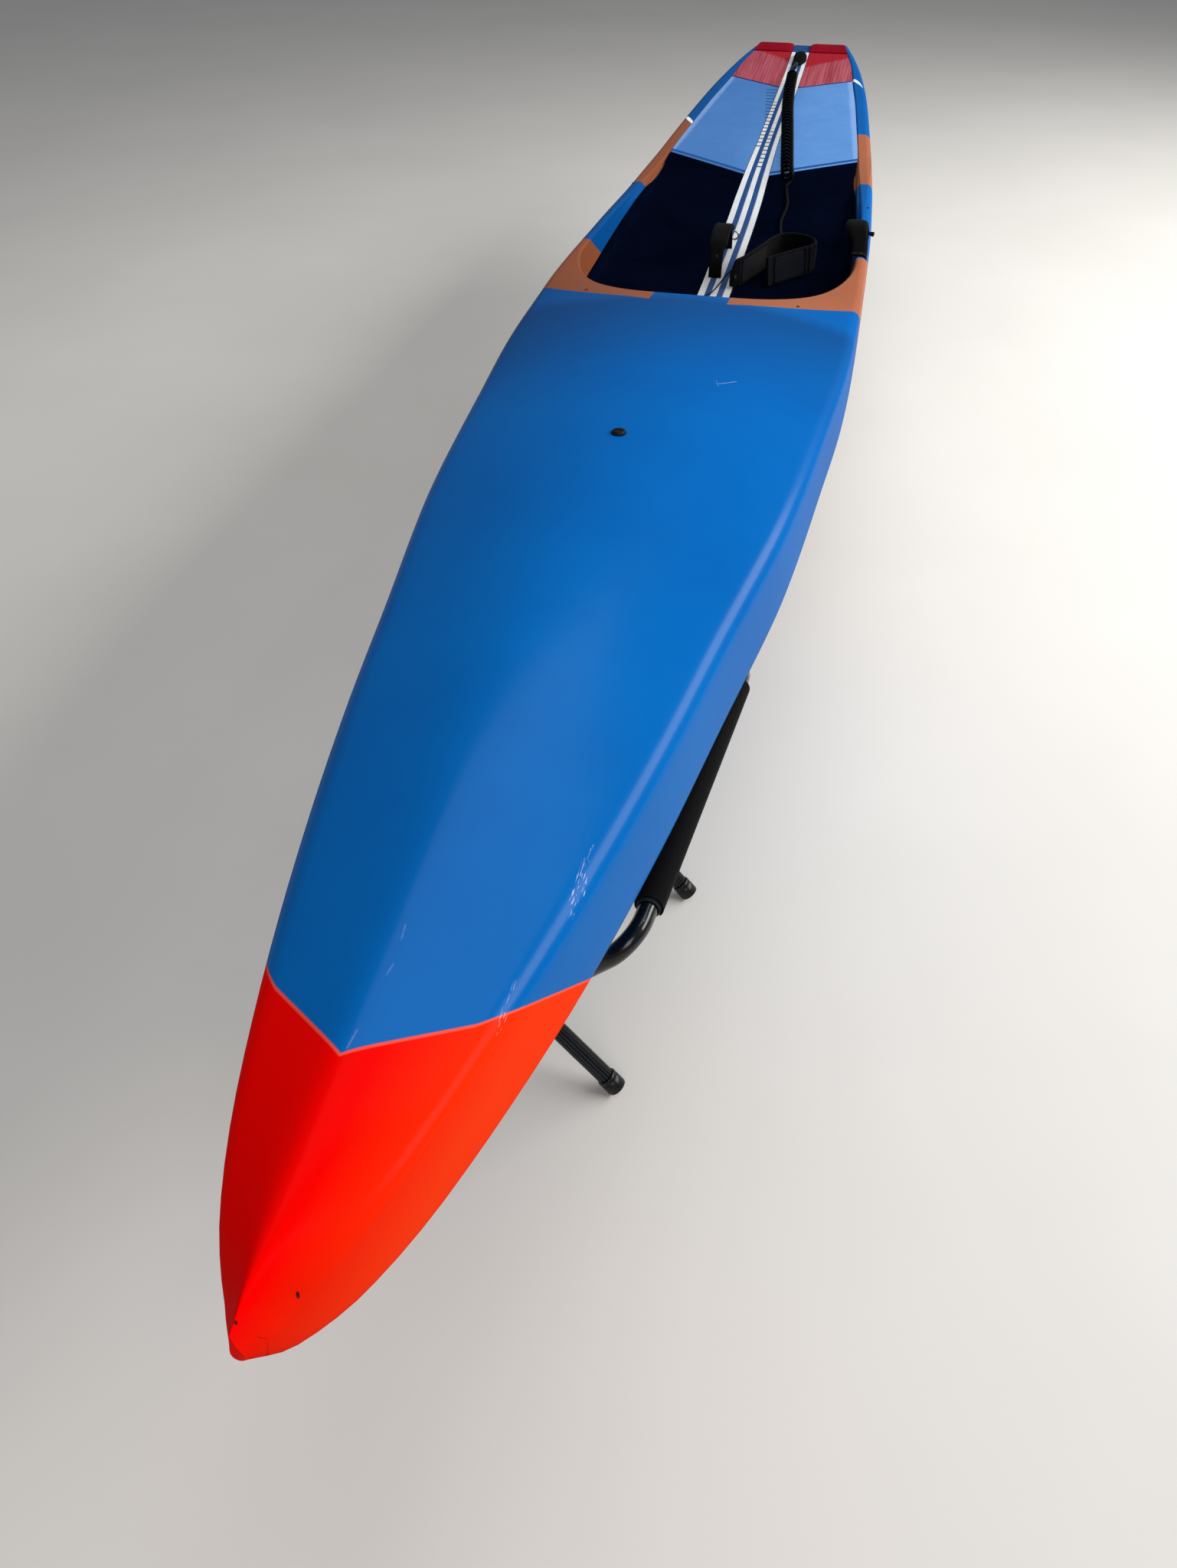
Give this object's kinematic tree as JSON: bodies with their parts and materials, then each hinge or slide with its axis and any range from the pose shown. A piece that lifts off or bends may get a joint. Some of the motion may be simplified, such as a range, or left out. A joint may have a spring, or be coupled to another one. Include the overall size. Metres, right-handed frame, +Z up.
{
  "type": "race paddleboard",
  "caption": "Long, narrow racing paddleboard with a sunken standing tray, grip pads, a coiled ankle leash and a fin, resting on folding sling stands.",
  "frame": {"origin": "on the floor under the middle of the board's length and width", "axes": "+X to the nose, +Y to port, +Z up"},
  "size_m": [4.267, 0.622, 0.6947],
  "materials": {
    "gloss_shell": "glossy blue and orange-red sprayed shell",
    "striped_foam": "matt foam with white and blue stripes",
    "navy_foam": "matt grooved closed-cell foam",
    "light_blue_foam": "matt closed-cell foam",
    "red_foam": "faded matt closed-cell foam",
    "dark_red_foam": "matt closed-cell foam",
    "black_plastic": "satin moulded",
    "carbon": "glossy laminate",
    "black_webbing": "woven",
    "grey_fabric": "padded knit",
    "black_urethane": "smooth, half gloss",
    "black_tube": "gloss powder coat",
    "fluted_aluminium": "dark anodised, fluted",
    "rubber_foot": "matt",
    "grey_foam": "matt foam sleeve",
    "steel": "satin"
  },
  "bodies": {
    "root": {"hull": "gloss_shell", "centre_strip": "striped_foam", "front_pad_port": "navy_foam", "front_pad_starboard": "navy_foam", "middle_pad_port": "light_blue_foam", "middle_pad_starboard": "light_blue_foam", "tail_pad_port": "red_foam", "tail_pad_starboard": "red_foam", "kick_pad_port": "dark_red_foam", "kick_pad_starboard": "dark_red_foam", "vent": "black_plastic", "leash_plug": "black_plastic", "fin_box": "black_plastic", "fin": "carbon", "carry_handle": "black_webbing", "side_strap": "black_webbing", "leash_webbing": "black_webbing", "leash_swivel": "steel", "leash_tail": "black_urethane", "leash_coil": "black_urethane", "leash_lead": "black_urethane", "leash_cuff": "grey_fabric", "front_stand_wide_tube": "black_tube", "front_stand_wide_foam": "grey_foam", "front_stand_wide_leg_front": "fluted_aluminium", "front_stand_wide_leg_rear": "fluted_aluminium", "front_stand_wide_foot_front": "rubber_foot", "front_stand_wide_foot_rear": "rubber_foot", "front_stand_narrow_tube": "black_tube", "front_stand_narrow_foam": "grey_foam", "front_stand_narrow_leg_front": "fluted_aluminium", "front_stand_narrow_leg_rear": "fluted_aluminium", "front_stand_narrow_foot_front": "rubber_foot", "front_stand_narrow_foot_rear": "rubber_foot", "front_stand_pivot": "steel", "front_stand_sling": "black_webbing", "rear_stand_wide_tube": "black_tube", "rear_stand_wide_foam": "grey_foam", "rear_stand_wide_leg_front": "fluted_aluminium", "rear_stand_wide_leg_rear": "fluted_aluminium", "rear_stand_wide_foot_front": "rubber_foot", "rear_stand_wide_foot_rear": "rubber_foot", "rear_stand_narrow_tube": "black_tube", "rear_stand_narrow_foam": "grey_foam", "rear_stand_narrow_leg_front": "fluted_aluminium", "rear_stand_narrow_leg_rear": "fluted_aluminium", "rear_stand_narrow_foot_front": "rubber_foot", "rear_stand_narrow_foot_rear": "rubber_foot", "rear_stand_pivot": "steel", "rear_stand_sling": "black_webbing"}
  },
  "joints": []
}
